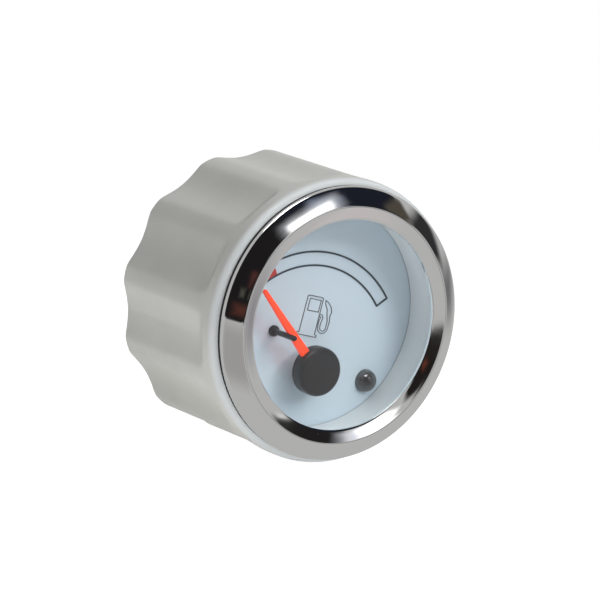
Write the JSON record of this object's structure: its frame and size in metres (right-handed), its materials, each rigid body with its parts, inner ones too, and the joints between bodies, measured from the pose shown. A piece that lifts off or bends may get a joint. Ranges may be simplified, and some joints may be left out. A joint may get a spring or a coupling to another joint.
{
  "type": "fuel gauge",
  "caption": "Round dashboard fuel gauge with chrome bezel, clear lens, sweeping pointer and a fluted hand-tightened clamp nut behind the panel.",
  "frame": {"origin": "centre of the plane where the gasket seats on the panel's front face, on the case's axis", "axes": "-Y is the way the dial faces, +Y runs back through the panel along the case's axis, +Z is the dial's 12 o'clock, +X is the viewer's right"},
  "size_m": [0.0604, 0.0518, 0.0604],
  "materials": {
    "pale_plastic": "satin moulded plastic, warm pale grey",
    "chrome_trim": "bright polished plate with fine pits and wipe marks",
    "clear_lens": "clear polished",
    "black_rubber": "matt black",
    "dial_paint": "fine satin pale blue paint",
    "ring_plastic": "satin pale blue grey",
    "dark_print": "screen printed dark blue grey ink",
    "symbol_print": "screen printed grey ink",
    "red_print": "screen printed red ink",
    "clear_acrylic": "clear moulded",
    "black_plastic": "fine satin black",
    "smoked_lens": "smoked glossy resin",
    "pointer_red": "translucent fluorescent orange red",
    "steel": "bright turned steel",
    "brass": "turned brass",
    "magnet": "sintered ferrite",
    "cream_plastic": "natural moulded nylon",
    "copper_wire": "enamelled copper wire",
    "board": "green solder resist",
    "chip": "black moulding compound",
    "resistor_body": "tan lacquer",
    "capacitor_body": "dark blue sleeve",
    "bulb_glass": "clear blown glass"
  },
  "bodies": {
    "gauge": {"case": "pale_plastic", "bezel": "chrome_trim", "lens": "clear_lens", "lens_seal": "black_rubber", "panel_gasket": "black_rubber", "inner_ring": "ring_plastic", "dial": "dial_paint", "scale_print": "dark_print", "reserve_print": "red_print", "pump_print": "symbol_print", "light_guide": "clear_acrylic", "stop_pin": "black_plastic", "stop_collar": "black_plastic", "low_fuel_light": "smoked_lens", "light_leads": "steel", "front_bush": "brass", "rear_bush": "brass", "bobbin_front": "cream_plastic", "bobbin_rear": "cream_plastic", "coil_inner": "copper_wire", "coil_outer": "copper_wire", "shield_can": "steel", "pillars": "cream_plastic", "board_screws": "steel", "circuit_board": "board", "driver_chip": "chip", "resistor": "resistor_body", "capacitor": "capacitor_body", "terminal_studs": "brass", "terminal_insulators": "black_plastic", "terminal_washers": "brass", "terminal_nuts": "brass"},
    "needle": {"pointer": "pointer_red", "hub_cap": "black_plastic", "spindle": "steel", "magnet_rotor": "magnet"},
    "washer": {"slip_washer": "black_plastic"},
    "nut": {"clamp_nut": "pale_plastic"},
    "lamp": {"lamp_holder": "black_plastic", "lamp_bulb": "bulb_glass"}
  },
  "joints": [
    {"name": "pointer_sweep", "type": "hinge", "parent": "gauge", "child": "needle", "pos_m": [0, 0, -0.011], "axis": [0, 1, 0], "range_deg": [0, 97]},
    {"name": "clamp_travel", "type": "slide", "parent": "gauge", "child": "washer", "axis": [0, 1, 0], "range_m": [0, 0.0121]},
    {"name": "clamp_spin", "type": "hinge", "parent": "washer", "child": "nut", "pos_m": [0, 0, 0], "axis": [0, 1, 0], "range_deg": [0, 1440]},
    {"name": "lamp_twist", "type": "hinge", "parent": "gauge", "child": "lamp", "pos_m": [0, 0.036, 0.0095], "axis": [0, 1, 0], "range_deg": [0, 60]}
  ],
  "couplings": [
    {"joint": "clamp_travel", "follows": "clamp_spin", "m_per_rad": 0.00047746}
  ]
}
